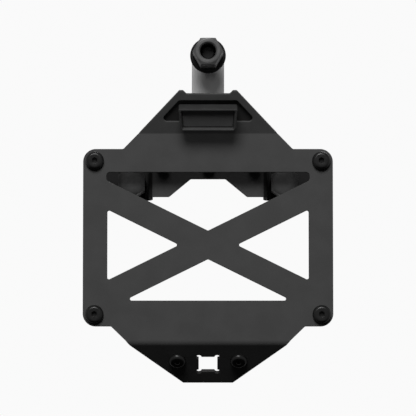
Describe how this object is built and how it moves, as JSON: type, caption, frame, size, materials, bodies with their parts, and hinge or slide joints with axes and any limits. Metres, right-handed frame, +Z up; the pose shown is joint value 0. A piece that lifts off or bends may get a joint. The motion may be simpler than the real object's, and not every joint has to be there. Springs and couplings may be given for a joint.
{
  "type": "spare wheel carrier",
  "caption": "Spare wheel flange with studs and lug nuts, and a folded licence plate bracket with crossed bars, plate lamp and camera port.",
  "frame": {"origin": "on the wheel's axis, on the face of the stud flange that the wheel sits on", "axes": "+X to the right seen from behind the vehicle, -Y outwards away from the vehicle, +Z up"},
  "size_m": [0.196, 0.1047, 0.2769],
  "materials": {
    "powder_coat": "fine-textured black powder coat",
    "flange_paint": "silver-grey paint over forged steel",
    "black_nut": "black coated steel",
    "black_screw": "black oxide steel",
    "zinc": "zinc plated steel",
    "lamp_plastic": "moulded, fine texture",
    "lens": "smoked polycarbonate",
    "circuit_board": "white solder mask",
    "reflector": "vacuum metallised",
    "led": "phosphor under silicone",
    "rubber": "matte",
    "nylon": "moulded nylon",
    "tin": "tin plated"
  },
  "bodies": {
    "carrier": {"face_plate": "powder_coat", "rear_bracket": "powder_coat", "stud_flange": "flange_paint", "wheel_stud_top": "black_nut", "wheel_stud_left": "black_nut", "wheel_stud_right": "black_nut", "weld_stud_upper_left": "zinc", "weld_stud_upper_right": "zinc", "weld_stud_lower_left": "zinc", "weld_stud_lower_right": "zinc", "spacer_upper_left": "black_nut", "spacer_upper_right": "black_nut", "spacer_lower_left": "black_nut", "spacer_lower_right": "black_nut", "lock_nut_upper_left": "zinc", "lock_nut_upper_right": "zinc", "lock_nut_lower_left": "zinc", "lock_nut_lower_right": "zinc", "plate_screw_upper_left": "black_screw", "plate_screw_upper_right": "black_screw", "plate_screw_lower_left": "black_screw", "plate_screw_lower_right": "black_screw", "plate_nut_upper_left": "black_screw", "plate_nut_upper_right": "black_screw", "plate_nut_lower_left": "black_screw", "plate_nut_lower_right": "black_screw", "camera_screw_left": "black_screw", "camera_screw_right": "black_screw", "camera_nut_left": "black_screw", "camera_nut_right": "black_screw", "lamp_housing": "lamp_plastic", "lamp_lens": "lens", "lamp_reflector": "reflector", "lamp_board": "circuit_board", "lamp_led_1": "led", "lamp_led_2": "led", "lamp_led_3": "led", "lamp_gasket": "rubber", "lamp_backplate": "powder_coat", "lamp_screw_left": "zinc", "lamp_screw_right": "zinc", "lamp_cable": "rubber", "cable_grommet": "rubber", "cable_clip": "nylon", "clip_screw": "zinc", "clip_nut": "zinc", "connector_body": "nylon", "connector_pin_left": "tin", "connector_pin_right": "tin"},
    "washer_top": {"nut_washer_top": "black_nut"},
    "washer_left": {"nut_washer_left": "black_nut"},
    "washer_right": {"nut_washer_right": "black_nut"},
    "nut_top": {"lug_nut_top": "black_nut"},
    "nut_left": {"lug_nut_left": "black_nut"},
    "nut_right": {"lug_nut_right": "black_nut"}
  },
  "joints": [
    {"name": "nut_top_travel", "type": "slide", "parent": "carrier", "child": "washer_top", "axis": [0, -1, 0], "range_m": [0, 0.012]},
    {"name": "nut_top_spin", "type": "hinge", "parent": "washer_top", "child": "nut_top", "pos_m": [0, -0.03, 0.06985], "axis": [0, -1, 0], "range_deg": [0, 2880]},
    {"name": "nut_left_travel", "type": "slide", "parent": "carrier", "child": "washer_left", "axis": [0, -1, 0], "range_m": [0, 0.009]},
    {"name": "nut_left_spin", "type": "hinge", "parent": "washer_left", "child": "nut_left", "pos_m": [-0.06049, -0.03, -0.03492], "axis": [0, -1, 0], "range_deg": [0, 2160]},
    {"name": "nut_right_travel", "type": "slide", "parent": "carrier", "child": "washer_right", "axis": [0, -1, 0], "range_m": [0, 0.009]},
    {"name": "nut_right_spin", "type": "hinge", "parent": "washer_right", "child": "nut_right", "pos_m": [0.06049, -0.03, -0.03492], "axis": [0, -1, 0], "range_deg": [0, 2160]}
  ],
  "couplings": [
    {"joint": "nut_top_travel", "follows": "nut_top_spin", "m_per_rad": 0.00023873},
    {"joint": "nut_left_travel", "follows": "nut_left_spin", "m_per_rad": 0.00023873},
    {"joint": "nut_right_travel", "follows": "nut_right_spin", "m_per_rad": 0.00023873}
  ]
}
